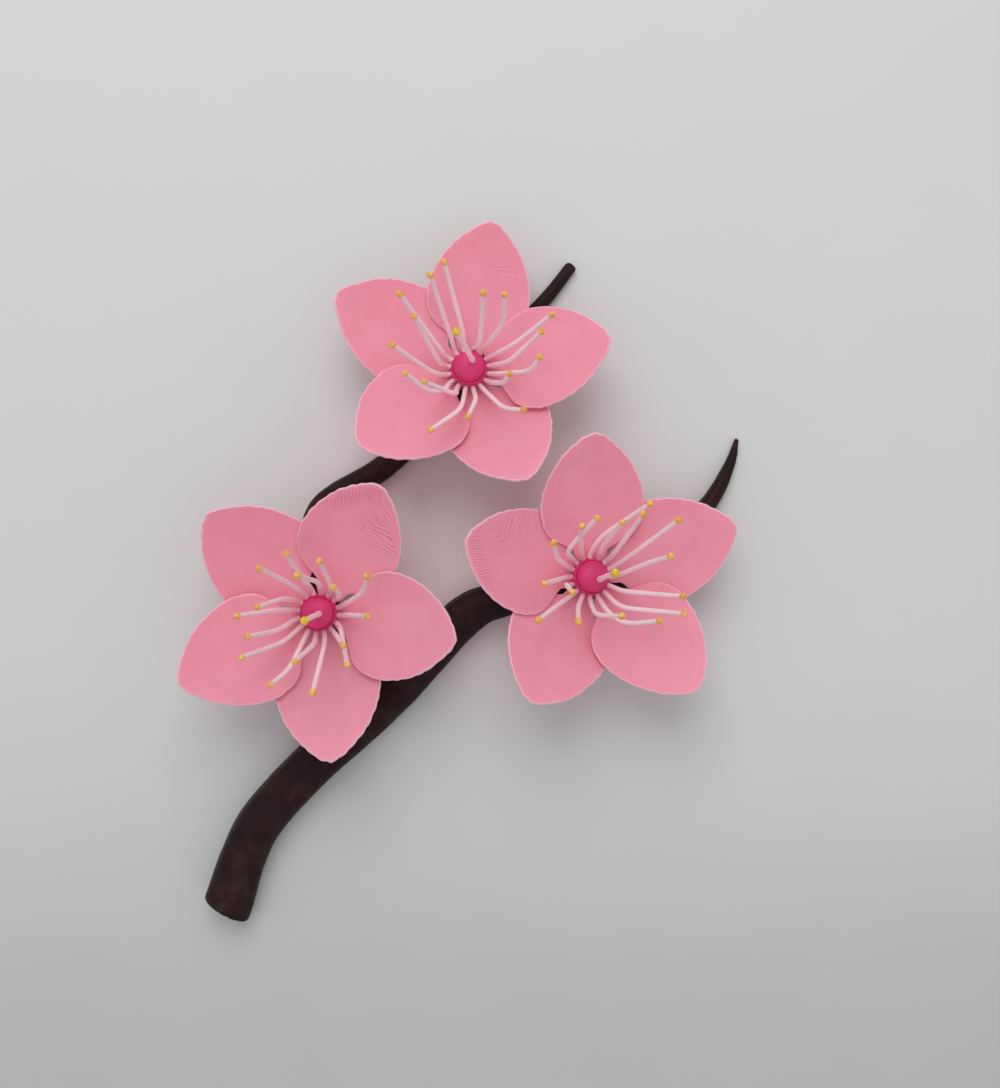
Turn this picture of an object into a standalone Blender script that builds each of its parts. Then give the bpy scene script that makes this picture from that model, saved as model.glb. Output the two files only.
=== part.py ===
"""Artificial cherry blossom sprig: three open blossoms on a forked branch that lies flat.

Every blossom is the same set of pieces, placed by an empty at its petals' base: five petals in three
layers round a turned base, a ring of stamens, a domed button and a pistil. The branch is one solid
with a flat underside at z = 0. Sizes are in metres; most are written as millimetres times MM.
"""
import math
import bpy
import bmesh
from mathutils import Matrix, Vector

MM = 0.001
GAP = 0.3 * MM                    # left between neighbouring pieces

# ---- petals ----
PETAL_ROWS = (                    # distance from the flower's axis, half width (mm)
    (2.4, 1.0), (3.5, 2.0), (5.0, 4.0), (6.5, 6.0), (9.5, 7.2),
    (12.5, 7.0), (14.5, 6.0), (17.0, 4.5), (18.5, 2.5), (19.5, 0.5),
)
PETAL_COLUMNS = 6
PETAL_THICK = 0.35 * MM
PETAL_LAYER = 0.7 * MM            # rise from one layer of petals to the next
LAYER_BASE = -0.8 * MM            # height of the middle layer at its claws
CLAW = 2.4 * MM                   # where a petal starts to rise
SLOPE = 0.2                       # its slope there
BOWL = 0.0125 / MM                # and how fast it steepens
PETALS = (                        # name, bearing (degrees), layer
    ("petal_mid", 0, 0),
    ("petal_low_1", 74, -1),
    ("petal_high_1", 144, 1),
    ("petal_low_2", 214, -1),
    ("petal_high_2", 287, 1),
)

# ---- flower base, stamens, button and pistil, measured up the flower's axis ----
BASE_RADIUS = 1.8 * MM            # the neck that the petals stand round
BASE_TOP = 0.2 * MM
SEAT_RADIUS = 2.8 * MM            # the seat under the lowest petals
SEAT_TOP = -2.0 * MM
SEAT_EDGE = -2.2 * MM
FOOT_RADIUS = 1.2 * MM
FOOT = -2.6 * MM
SPUR_RADIUS = 1.2 * MM

RING_INNER = 1.2 * MM
RING_OUTER = 2.8 * MM
RING_BOTTOM = 0.5 * MM
RING_TOP = 1.1 * MM
FILAMENT_RADIUS = 0.3 * MM
FILAMENT_LENGTH = 13.5 * MM       # every filament is bent from the same length
ROOT_REACH = 2.5 * MM
SHOULDER_REACH = 3.3 * MM         # a filament runs level to here, then rises
ROOT_HEIGHT = 0.8 * MM
ANTHER_RADIUS = 0.5 * MM
STAMEN_STEP = -360 / 16           # degrees from one filament's root to the next

BUTTON_BOTTOM = RING_TOP + GAP
RIM_RADIUS = 2.6 * MM
RIM_TOP = 1.9 * MM
DOME_RADIUS = 2.2 * MM
DOME_TOP = 3.5 * MM

PISTIL_TOP = 13.0 * MM
PISTIL_TIP_RADIUS = 0.55 * MM

# ---- where each blossom stands ----
# place of its petals' base (mm), lean and the bearing it leans toward, spin of the middle petal,
# how far its stamens, button and pistil sit off that place, bearing of the first filament's root
# (degrees), and where the pistil's tip ends (bearing, mm).
# Each filament is (bend bearing, bend reach, tip bearing, tip reach), counted from the middle petal.
BLOSSOMS = (
    dict(
        name="upper", place=(1.1, 35.5, 5.5), lean=13, toward=84, spin=80, centre=(0.1, -0.65),
        first_root=-112, pistil=(83, 1.7),
        filaments=(
            (-132, 7.5, -126, 7.5), (-140, 9.5, -133, 11.8), (-159, 5.5, -170, 10.7),
            (-178, 7.0, 168, 12.8), (173, 5.5, 148, 8.5), (151, 5.0, 131, 9.5),
            (120, 5.0, 107, 10.0), (100, 4.0, 82, 7.5), (71, 4.0, 66, 11.0),
            (43, 4.5, 41, 10.0), (19, 4.5, 27, 11.5), (-26, 2.5, -6, 5.5),
            (-42, 6.0, -30, 7.0), (-61, 6.5, -61, 11.5), (-85, 5.5, -75, 9.5),
            (-104, 9.0, -96, 9.6),
        ),
    ),
    dict(
        name="right", place=(18.4, 6.0, 7.0), lean=12, toward=17, spin=166, centre=(-0.55, 0.15),
        first_root=36, pistil=(0, 0.1),
        filaments=(
            (27, 6.0, 36, 6.5), (20, 6.0, 22, 9.5), (-4, 7.0, -11, 9.0),
            (-22, 5.5, -58, 7.5), (-38, 6.5, -38, 7.5), (-84, 5.5, -105, 10.5),
            (-84, 4.0, -82, 6.5), (-120, 4.0, -102, 8.5), (-135, 6.0, -128, 11.5),
            (-150, 6.0, -149, 7.5), (167, 4.5, 176, 9.5), (143, 5.5, 166, 11.0),
            (122, 5.5, 148, 8.5), (90, 5.5, 109, 5.5), (65, 5.5, 64, 8.0),
            (48, 7.0, 45, 11.5),
        ),
    ),
    dict(
        name="left", place=(-19.4, 1.3, 8.0), lean=0, toward=0, spin=63, centre=(0.0, 0.0),
        first_root=-25, pistil=(-153, 0.35),
        filaments=(
            (-26, 5.0, -17, 5.5), (-39, 7.5, -29, 9.5), (-65, 4.0, -61, 8.0),
            (-100, 4.5, -110, 8.0), (-103, 4.5, -97, 6.0), (-139, 4.5, -147, 9.5),
            (-153, 4.0, -164, 5.5), (-174, 7.5, 180, 9.5), (159, 5.5, 149, 9.5),
            (141, 5.0, 135, 7.5), (110, 5.0, 115, 8.5), (87, 4.5, 103, 6.0),
            (64, 5.0, 69, 8.5), (45, 4.5, 43, 8.5), (19, 4.5, 35, 5.5),
            (-1, 4.5, 12, 7.5),
        ),
    ),
)

# ---- branch: stations along each limb as (x, y, width, height) in mm ----
MAIN_LIMB = (
    (-33.6, -41.5, 7.0, 5.5), (-31.0, -33.5, 6.5, 5.5), (-28.0, -28.0, 6.5, 5.5),
    (-21.0, -20.5, 6.5, 5.0), (-10.5, -11.0, 6.5, 5.0), (0.0, 0.0, 6.0, 4.5),
    (6.0, 2.8, 5.0, 4.5), (14.5, 4.5, 5.0, 4.0), (23.0, 6.5, 4.5, 3.5),
    (30.0, 11.0, 3.5, 3.0), (35.5, 16.5, 2.5, 2.5), (38.6, 22.0, 1.7, 1.5),
    (39.8, 26.0, 0.7, 0.7),
)
SIDE_LIMB = (
    (-8.0, -9.0, 3.5, 3.5), (-14.5, -5.5, 3.5, 3.5), (-18.0, -2.5, 3.5, 3.0),
    (-20.5, 4.5, 3.5, 3.0), (-21.5, 10.5, 3.5, 3.0), (-21.0, 14.5, 3.5, 3.0),
    (-18.5, 17.5, 3.5, 3.0), (-11.0, 22.0, 3.5, 3.0), (-1.0, 31.0, 3.0, 2.5),
    (1.5, 34.5, 3.0, 2.5), (12.0, 46.0, 2.0, 2.0), (15.9, 51.0, 1.7, 1.5),
)
SECTION_SIDES = 12
SECTION_WAIST = 0.42              # height of the section's widest level, as a share of its height
STATION_STEPS = 2                 # sections between two stations
CUT_SKEW = math.radians(12)       # how far the thick end's cut is from square

COLORS = {
    "branch": ((0.026, 0.014, 0.016), 0.45),
    "petal": ((0.76, 0.26, 0.37), 0.5),
    "flower_base": ((0.12, 0.06, 0.05), 0.6),
    "filament": ((0.83, 0.53, 0.60), 0.45),
    "button": ((0.58, 0.035, 0.15), 0.35),
    "pistil": ((0.86, 0.62, 0.68), 0.4),
}


def clear_scene():
    for item in list(bpy.data.objects):
        bpy.data.objects.remove(item, do_unlink=True)


def make_collection(name):
    group = bpy.data.collections.new(name)
    bpy.context.scene.collection.children.link(group)
    return group


def make_material(name):
    color, roughness = COLORS[name]
    material = bpy.data.materials.new(name)
    material.use_nodes = True
    shader = material.node_tree.nodes["Principled BSDF"]
    shader.inputs["Base Color"].default_value = (*color, 1.0)
    shader.inputs["Roughness"].default_value = roughness
    shader.inputs["Metallic"].default_value = 0.0
    return material


def add_object(name, data, group, material=None, parent=None):
    item = bpy.data.objects.new(name, data)
    group.objects.link(item)
    item.parent = parent
    if material is not None:
        data.materials.append(material)
    return item


def smooth_shading(mesh, degrees=40):
    mesh.shade_smooth()
    mesh.set_sharp_from_angle(angle=math.radians(degrees))


def mesh_from(bm, name):
    mesh = bpy.data.meshes.new(name)
    bmesh.ops.recalc_face_normals(bm, faces=bm.faces)
    bm.to_mesh(mesh)
    bm.free()
    smooth_shading(mesh)
    return mesh


def make_cutter(item):
    item.hide_render = True
    item.display_type = "WIRE"


def join_all(item, group):
    """Make one body of an object and every object in a collection."""
    union = item.modifiers.new("joined", "BOOLEAN")
    union.operation = "UNION"
    union.solver = "EXACT"
    union.operand_type = "COLLECTION"
    union.collection = group


def turned_mesh(name, profile, steps, group, material, parent):
    """Turn a profile of (radius, height), listed from the top down, round Z."""
    mesh = bpy.data.meshes.new(name)
    points = [(radius, 0.0, height) for radius, height in profile]
    edges = [(i, i + 1) for i in range(len(points) - 1)]
    mesh.from_pydata(points, edges, [])
    item = add_object(name, mesh, group, material, parent)
    screw = item.modifiers.new("turned", "SCREW")
    screw.steps = steps
    screw.render_steps = steps
    screw.use_merge_vertices = True
    screw.merge_threshold = 0.01 * MM
    screw.use_smooth_shade = True
    return item


def polar(bearing, reach, height):
    angle = math.radians(bearing)
    return Vector((reach * math.cos(angle), reach * math.sin(angle), height))


def tube_mesh(name, points, radius):
    """Sweep a round section along a path and close its ends."""
    curve = bpy.data.curves.new(name, "CURVE")
    curve.dimensions = "3D"
    curve.bevel_depth = radius
    curve.bevel_resolution = 1
    curve.use_fill_caps = True
    spline = curve.splines.new("POLY")
    spline.points.add(len(points) - 1)
    for spline_point, point in zip(spline.points, points):
        spline_point.co = (*point, 1.0)
    route = bpy.data.objects.new(name, curve)
    bpy.context.scene.collection.objects.link(route)
    bpy.context.view_layer.update()
    evaluated = route.evaluated_get(bpy.context.evaluated_depsgraph_get())
    mesh = bpy.data.meshes.new_from_object(evaluated)
    bpy.data.objects.remove(route, do_unlink=True)
    bm = bmesh.new()
    bm.from_mesh(mesh)
    bmesh.ops.remove_doubles(bm, verts=bm.verts, dist=0.001 * MM)
    bm.to_mesh(mesh)
    bm.free()
    return mesh


def ball_mesh(name, radius, centre, subdivisions=1):
    bm = bmesh.new()
    place = Matrix.Translation(centre)
    bmesh.ops.create_icosphere(bm, subdivisions=subdivisions, radius=radius, matrix=place)
    return mesh_from(bm, name)


# ---- branch ----
def smooth_stations(stations):
    """Read evenly spaced stations from a smooth curve through the given ones."""
    known = [Vector(station) for station in stations]
    known = [2 * known[0] - known[1]] + known + [2 * known[-1] - known[-2]]
    result = []
    for i in range(1, len(known) - 2):
        before, start, end, after = known[i - 1:i + 3]
        for step in range(STATION_STEPS):
            t = step / STATION_STEPS
            near = 2 * start + (end - before) * t
            bend = (2 * before - 5 * start + 4 * end - after) * t * t
            turn = (3 * start - before - 3 * end + after) * t ** 3
            result.append((near + bend + turn) / 2)
    result.append(known[-2])
    return result


def section(station, side):
    """Points round a limb's section: an oval that is cut flat at z = 0."""
    x, y, width, height = station
    waist = SECTION_WAIST * height
    first = -math.asin(0.75)
    sweep = math.pi - 2 * first
    points = []
    for i in range(SECTION_SIDES):
        angle = first + sweep * i / (SECTION_SIDES - 1)
        across = width / 2 * math.cos(angle)
        if math.sin(angle) < 0:
            rise = waist + waist / 0.75 * math.sin(angle)
        else:
            rise = waist + (height - waist) * math.sin(angle)
        points.append(Vector((x + side.x * across, y + side.y * across, max(rise, 0.0))) * MM)
    return points


def limb_mesh(name, stations, skew=0.0):
    rows = smooth_stations(stations)
    bm = bmesh.new()
    rings = []
    for i, row in enumerate(rows):
        ahead = rows[min(i + 1, len(rows) - 1)]
        behind = rows[max(i - 1, 0)]
        along = Vector((ahead[0] - behind[0], ahead[1] - behind[1])).normalized()
        side = Vector((along.y, -along.x))
        if i == 0:
            side.rotate(Matrix.Rotation(-skew, 2))
        rings.append([bm.verts.new(point) for point in section(row, side)])
    for ring, following in zip(rings, rings[1:]):
        for j in range(SECTION_SIDES):
            k = (j + 1) % SECTION_SIDES
            bm.faces.new((ring[j], ring[k], following[k], following[j]))
    bm.faces.new(rings[0])
    bm.faces.new(rings[-1])
    return mesh_from(bm, name)


def spur_mesh(name, blossom, frame):
    """The stub that carries a blossom: it leans with the flower and starts inside the limb."""
    top = FOOT - GAP
    x, y, z = blossom["place"]
    bottom = (1.0 - z) * MM
    bm = bmesh.new()
    middle = Matrix.Translation((0.0, 0.0, (top + bottom) / 2))
    bmesh.ops.create_cone(
        bm, cap_ends=True, segments=14, radius1=SPUR_RADIUS * 1.3, radius2=SPUR_RADIUS,
        depth=top - bottom, matrix=frame @ middle)
    return mesh_from(bm, name)


def make_branch(group, frames):
    joined = make_collection("branch_joined")
    branch = add_object("branch", limb_mesh("branch", MAIN_LIMB, CUT_SKEW), group, make_material("branch"))
    make_cutter(add_object("side_limb", limb_mesh("side_limb", SIDE_LIMB), joined))
    for blossom, frame in zip(BLOSSOMS, frames):
        name = blossom["name"] + "_spur"
        make_cutter(add_object(name, spur_mesh(name, blossom, frame), joined))
    join_all(branch, joined)


# ---- blossom ----
def blossom_frame(blossom):
    """Where a blossom stands: its petals' base, its lean and its spin."""
    toward = math.radians(blossom["toward"])
    axis = Vector((-math.sin(toward), math.cos(toward), 0.0))
    lean = Matrix.Rotation(math.radians(blossom["lean"]), 4, axis)
    spin = Matrix.Rotation(math.radians(blossom["spin"]), 4, "Z")
    return Matrix.Translation(Vector(blossom["place"]) * MM) @ lean @ spin


def petal_mesh(name):
    """One petal: a patch of a shallow bowl with a narrow claw and a pointed tip."""
    last = len(PETAL_ROWS) - 1
    bm = bmesh.new()
    bmesh.ops.create_grid(bm, x_segments=last, y_segments=PETAL_COLUMNS, size=1.0)
    for vert in bm.verts:
        distance, half_width = PETAL_ROWS[round((vert.co.x + 1) / 2 * last)]
        x = distance * MM
        y = half_width * vert.co.y * MM
        rise = max(math.hypot(x, y) - CLAW, 0.0)
        vert.co = (x, y, SLOPE * rise + BOWL * rise * rise)
    return mesh_from(bm, name)


def make_petals(blossom, root, group, material):
    mesh = petal_mesh(blossom["name"] + "_petal")
    mesh.materials.append(material)
    for name, bearing, layer in PETALS:
        petal = add_object(blossom["name"] + "_" + name, mesh, group, parent=root)
        petal.location.z = LAYER_BASE + layer * PETAL_LAYER
        petal.rotation_euler.z = math.radians(bearing)
        shell = petal.modifiers.new("shell", "SOLIDIFY")
        shell.thickness = PETAL_THICK
        shell.offset = 0.0


def make_flower_base(blossom, root, group, material):
    profile = (
        (0.0, BASE_TOP), (BASE_RADIUS, BASE_TOP), (BASE_RADIUS, SEAT_TOP),
        (SEAT_RADIUS, SEAT_TOP), (SEAT_RADIUS, SEAT_EDGE), (FOOT_RADIUS, FOOT), (0.0, FOOT),
    )
    turned_mesh(blossom["name"] + "_flower_base", profile, 18, group, material, root)


def filament_route(root_bearing, bend_bearing, bend_reach, tip_bearing, tip_reach):
    """Root, shoulder, bend and tip: what a filament's length leaves over goes into its rise."""
    root = polar(root_bearing, ROOT_REACH, ROOT_HEIGHT)
    shoulder = polar(root_bearing, SHOULDER_REACH, ROOT_HEIGHT)
    bend = polar(bend_bearing, bend_reach * MM, ROOT_HEIGHT)
    tip = polar(tip_bearing, tip_reach * MM, ROOT_HEIGHT)
    lower = (bend - shoulder).length
    across = lower + (tip - bend).length
    rise = math.sqrt(FILAMENT_LENGTH ** 2 - across ** 2)
    bend.z += rise * lower / across
    tip.z += rise
    return root, shoulder, bend, tip


def make_stamens(blossom, root, group, material):
    name = blossom["name"] + "_stamens"
    profile = (
        (RING_INNER, RING_TOP), (RING_OUTER, RING_TOP), (RING_OUTER, RING_BOTTOM),
        (RING_INNER, RING_BOTTOM), (RING_INNER, RING_TOP),
    )
    ring = turned_mesh(name, profile, 16, group, material, root)
    joined = make_collection(name + "_joined")
    for i, bends in enumerate(blossom["filaments"]):
        route = filament_route(blossom["first_root"] + i * STAMEN_STEP, *bends)
        part = f"{blossom['name']}_filament_{i + 1}"
        make_cutter(add_object(part, tube_mesh(part, route, FILAMENT_RADIUS), joined, parent=root))
        part = f"{blossom['name']}_anther_{i + 1}"
        make_cutter(add_object(part, ball_mesh(part, ANTHER_RADIUS, route[-1]), joined, parent=root))
    join_all(ring, joined)


def make_button(blossom, root, group, material):
    dome = []
    for i in range(5):
        angle = math.radians(90 - 22.5 * i)
        height = RIM_TOP + (DOME_TOP - RIM_TOP) * math.sin(angle)
        dome.append((DOME_RADIUS * math.cos(angle), height))
    profile = dome + [(RIM_RADIUS, RIM_TOP), (RIM_RADIUS, BUTTON_BOTTOM), (0.0, BUTTON_BOTTOM)]
    profile[0] = (0.0, DOME_TOP)
    turned_mesh(blossom["name"] + "_button", profile, 20, group, material, root)


def make_pistil(blossom, root, group, material):
    name = blossom["name"] + "_pistil"
    bearing, reach = blossom["pistil"]
    foot = Vector((0.0, 0.0, DOME_TOP + GAP))
    tip = polar(bearing, reach * MM, PISTIL_TOP)
    mesh = tube_mesh(name, (foot, foot.lerp(tip, 0.5), tip), FILAMENT_RADIUS)
    smooth_shading(mesh)
    pistil = add_object(name, mesh, group, material, root)
    joined = make_collection(name + "_joined")
    part = name + "_tip"
    make_cutter(add_object(part, ball_mesh(part, PISTIL_TIP_RADIUS, tip), joined, parent=root))
    join_all(pistil, joined)


def add_root(name, frame, group):
    root = bpy.data.objects.new(name, None)
    root.empty_display_size = 5 * MM
    group.objects.link(root)
    root.location = frame.translation
    root.rotation_euler = frame.to_euler()
    return root


def make_blossom(blossom, frame, group, materials):
    root = add_root(blossom["name"] + "_blossom", frame, group)
    offset = Matrix.Translation(Vector((*blossom["centre"], 0.0)) * MM)
    centre = add_root(blossom["name"] + "_centre", offset @ frame, group)
    make_petals(blossom, root, group, materials["petal"])
    make_flower_base(blossom, root, group, materials["flower_base"])
    make_stamens(blossom, centre, group, materials["filament"])
    make_button(blossom, centre, group, materials["button"])
    make_pistil(blossom, centre, group, materials["pistil"])


def main():
    clear_scene()
    group = make_collection("cherry_blossom_sprig")
    materials = {}
    for name in ("petal", "flower_base", "filament", "button", "pistil"):
        materials[name] = make_material(name)
    frames = [blossom_frame(blossom) for blossom in BLOSSOMS]
    make_branch(group, frames)
    for blossom, frame in zip(BLOSSOMS, frames):
        make_blossom(blossom, frame, group, materials)


main()
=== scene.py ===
"""Looks of the artificial cherry blossom sprig, built round its solid model.

Three blossoms of thin plastic petals, each with a ring of bent filaments, a domed button and a
pistil, stand on a dark forked branch that lies flat. Lengths are written in millimetres and turned
into metres by MM. Those inside a material are in metres.
"""

import math
import random

import bmesh
import bpy
from bpy.props import FloatProperty, FloatVectorProperty, IntProperty, PointerProperty
from bpy.types import Operator, Panel, PropertyGroup
from mathutils import Matrix, Vector, noise


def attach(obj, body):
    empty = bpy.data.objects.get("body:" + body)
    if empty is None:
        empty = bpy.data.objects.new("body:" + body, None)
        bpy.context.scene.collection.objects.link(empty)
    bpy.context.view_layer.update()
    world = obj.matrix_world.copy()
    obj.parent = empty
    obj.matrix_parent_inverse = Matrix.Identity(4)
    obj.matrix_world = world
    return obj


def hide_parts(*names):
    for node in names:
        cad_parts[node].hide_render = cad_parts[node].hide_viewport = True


bl_info = {
    "name": "Cherry Blossom Sprig",
    "version": (1, 0, 0),
    "blender": (4, 5, 0),
    "location": "3D View > Sidebar > Sprig",
    "description": "Builds the looks of an artificial cherry blossom sprig",
    "category": "Object",
}

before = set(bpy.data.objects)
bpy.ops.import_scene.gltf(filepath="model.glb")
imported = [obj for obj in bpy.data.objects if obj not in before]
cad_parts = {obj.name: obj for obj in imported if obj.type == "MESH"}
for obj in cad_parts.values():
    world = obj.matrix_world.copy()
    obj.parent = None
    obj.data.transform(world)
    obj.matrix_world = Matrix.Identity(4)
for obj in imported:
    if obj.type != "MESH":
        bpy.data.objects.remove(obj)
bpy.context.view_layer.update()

MM = 0.001
UP = Vector((0.0, 0.0, 1.0))

# ---- petals: distance from the flower's axis and half width, and each petal's own proportions ----
PETAL_OUTLINE = (
    (2.4, 1.6), (3.2, 2.15), (4.1, 2.55), (4.9, 4.1), (5.9, 5.9), (7.5, 6.95), (9.4, 7.35), (11.0, 7.2),
    (12.8, 6.7), (14.7, 5.8), (16.6, 4.4), (18.2, 2.6), (19.1, 1.25), (19.5, 0.0),
)
CLAW = 2.4
PETAL_LAYER = 0.55
LAYER_BASE = -0.8
BOWL_SLOPE = 0.2
BOWL = 0.0125
PETAL_HEART = 11.5                # where the rings of a petal's mesh close up
SCALLOP = 1.7                     # length of one scallop of a petal's edge
FINE_PITCH = 0.38                 # distance between two printed ridges, on a petal's left half
COARSE_PITCH = 0.54               # and on its right half
RIDGE_CENTRE = (19.8, -4.1)       # what the ridges of a middle petal curve round
RIDGE_STRENGTH = {"upper": 0.42, "right": 0.65, "left": 1.0}
LEFT_RELIEF, CENTRE_RELIEF, RIGHT_RELIEF = 1.4, 0.6, 1.1
RIDGED_SPACING = 0.42             # how much closer the points of a ridged petal stand
SHEET_WAVES = ((0.03, 4.5, 3.7), (0.06, 9.0, 9.7))   # height, width and noise shift of slow waves
# name, bearing (degrees), layer, width to the right and to the left, length past the broadest part
PETALS = (
    ("petal_mid", 0, 0, 0.95, 1.02, 0.0),
    ("petal_low_1", 74, -1, 1.03, 1.01, 0.1),
    ("petal_high_1", 144, 1, 0.98, 1.06, 0.4),
    ("petal_low_2", 214, -1, 0.98, 1.02, 0.3),
    ("petal_high_2", 287, 1, 1.00, 1.01, -0.1),
)
# what a blossom's own petal adds to its bearing, right, left and length
PETAL_CHANGES = {
    ("upper", "petal_mid"): (0.7, 0.0, 0.0, 0.0),
    ("upper", "petal_low_1"): (1.5, 0.0, 0.0, 0.3),
    ("upper", "petal_high_1"): (1.0, -0.02, 0.0, 0.1),
    ("upper", "petal_low_2"): (0.0, 0.03, 0.0, -0.1),
    ("upper", "petal_high_2"): (-2.0, 0.04, -0.05, 0.0),
    ("right", "petal_mid"): (0.0, 0.0, 0.0, 0.1),
    ("right", "petal_low_1"): (-1.5, 0.0, 0.0, 0.0),
    ("right", "petal_low_2"): (0.5, 0.0, 0.03, 0.4),
    ("right", "petal_high_2"): (1.0, 0.0, 0.0, 0.0),
}
# what a petal's claw adds to its half width on the right and on the left, where a gap shows or not
CLAW_CHANGES = {
    ("upper", "petal_low_1"): (-0.5, 0.0),
    ("upper", "petal_high_1"): (0.0, -0.8),
    ("upper", "petal_high_2"): (0.0, 1.5),
    ("right", "petal_low_1"): (-0.2, 0.0),
    ("right", "petal_high_1"): (0.0, -0.5),
    ("right", "petal_low_2"): (-0.3, 0.0),
    ("left", "petal_low_1"): (-0.45, 0.0),
    ("left", "petal_low_2"): (0.0, -0.5),
}

# ---- stamens, button and pistil, measured up the flower's axis ----
ROOT_REACH = 2.0
SHOULDER_REACH = 3.3
ROOT_HEIGHT = 0.8
STAMEN_COUNT = 16
STAMEN_STEP = -360 / STAMEN_COUNT

# how far a blossom's stamens, button and pistil sit off its petals' middle, along X and Y
CENTRE_OFFSET = {"upper": (0.1, -0.65), "right": (-0.55, 0.15), "left": (0.0, 0.0)}

# bearing of the first filament's root, then a bearing and a reach for every filament's bends and
# tip, all counted from the middle petal
STAMENS = {
    "upper": (-112, (
        (-132, 7.5, -126, 7.5), (-140, 9.5, -133, 11.8), (-159, 5.5, -170, 10.7),
        (-178, 7.0, 168, 12.8), (173, 5.5, 148, 8.5), (151, 5.0, 149, 7.8, 131, 9.5),
        (120, 5.0, 107, 10.0), (100, 4.0, 82, 7.5), (71, 4.0, 66, 11.0),
        (43, 4.5, 41, 10.0), (19, 4.5, 27, 11.5), (-26, 2.5, -8, 6.1),
        (-42, 6.0, -30, 7.2), (-61, 6.5, -61, 11.5), (-85, 5.5, -75, 9.5),
        (-104, 9.0, -96, 9.6),
    )),
    "right": (36, (
        (27, 6.0, 36, 6.5), (20, 6.0, 22, 9.5), (-4, 7.0, -11, 9.0),
        (-22, 5.5, -58, 7.5), (-38, 6.5, -38, 7.5), (-84, 5.5, -105, 10.5),
        (-84, 4.0, -82, 6.5), (-120, 4.0, -102, 8.5), (-135, 6.0, -128, 11.5),
        (-150, 6.0, -149, 7.5), (167, 4.5, 176, 9.5), (143, 5.5, 166, 11.0),
        (122, 5.5, 129, 7.2, 148, 8.5), (90, 5.5, 109, 5.5), (65, 5.5, 64, 8.0),
        (48, 7.0, 45, 11.5),
    )),
    "left": (-25, (
        (-26, 5.0, -17, 5.5), (-39, 7.5, -29, 9.5), (-65, 4.0, -61, 8.0),
        (-100, 4.5, -110, 8.0), (-103, 4.5, -97, 6.0), (-139, 4.5, -147, 9.5),
        (-153, 4.0, -164, 5.5), (-174, 7.5, 180, 9.5), (159, 5.5, 149, 9.5),
        (141, 5.0, 135, 7.5), (110, 5.0, 115, 8.5), (87, 4.5, 103, 6.0),
        (64, 5.0, 69, 8.5), (45, 4.5, 43, 8.5), (19, 4.5, 35, 5.5),
        (-1, 4.5, 12, 7.5),
    )),
}
PISTILS = {                       # foot bearing, foot reach, tip bearing, tip reach
    "upper": (-44, 0.65, 83, 1.7),
    "right": (159, 0.75, 0, 0.1),
    "left": (-63, 0.45, -153, 0.35),
}
PISTIL_TOP = 13.0
PISTIL_TIP_RADIUS = 0.58
DOME_FOOT = 1.95                  # height at which the dome meets its collar

# ---- branch: stations along each limb as (x, y, width, height) ----
MAIN_LIMB = (
    (-33.6, -41.5, 7.0, 5.5), (-31.0, -33.5, 6.5, 5.5), (-28.0, -28.0, 6.5, 5.5),
    (-21.0, -20.5, 6.5, 5.0), (-10.5, -11.0, 6.5, 5.0), (0.0, 0.0, 6.0, 4.5),
    (6.0, 2.8, 5.0, 4.5), (14.5, 4.5, 5.0, 4.0), (23.0, 6.5, 4.5, 3.5),
    (30.0, 11.0, 3.5, 3.0), (35.5, 16.5, 2.5, 2.5), (38.6, 22.0, 1.7, 1.5),
    (39.8, 26.0, 0.7, 0.7),
)
SIDE_LIMB = (
    (-8.0, -9.0, 3.5, 3.5), (-14.5, -5.5, 3.5, 3.5), (-18.0, -2.5, 3.5, 3.0),
    (-20.5, 4.5, 3.5, 3.0), (-21.5, 10.5, 3.5, 3.0), (-21.0, 14.5, 3.5, 3.0),
    (-18.5, 17.5, 3.5, 3.0), (-11.0, 22.0, 3.5, 3.0), (-1.0, 31.0, 3.0, 2.5),
    (1.5, 34.5, 3.0, 2.5), (12.0, 46.0, 2.0, 2.0), (15.9, 51.0, 1.7, 1.5),
)
SECTION_SIDES = 36
SECTION_WAIST = 0.42
SECTION_FLAT = 0.75               # sine of the angle at which a section meets its flat underside
STATION_STEPS = 8
CUT_SKEW = math.radians(12)
SPUR_FOOT_HEIGHT = 1.0
SPUR_TOP = -2.85                  # measured up the flower's axis, just below the flower base
SPUR_RADIUS = 1.25
SPUR_FLARE = 0.55                 # what its foot adds to its radius
# which way the flank with the painted sheen faces
SHEEN_SIDE = Vector((-0.75, 0.66, 0.0))

# ---- stage ----
FLOOR_HALF_WIDTH = 2000.0
GLOW_PLACE = (1.0, 15.0)          # middle of the blush on the floor
GLOW_FULL, GLOW_END = 12.0, 30.0  # how far it stays full, and where it ends
KEY_LIGHT_PLACE = (-30.0, 270.0, 335.0)
KEY_LIGHT_WIDTH = 340.0
CAMERA_PLACE = (5.51, 10.73)


# ---- settings ----
def length_setting(name, description, default):
    """A length in metres, given here in millimetres."""
    return FloatProperty(
        name=name, description=description, default=default * MM, min=0.0, precision=5,
        subtype="DISTANCE", unit="LENGTH")


def color_setting(name, description, default):
    return FloatVectorProperty(
        name=name, description=description, default=default, size=3, min=0.0, max=1.0,
        subtype="COLOR")


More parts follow.
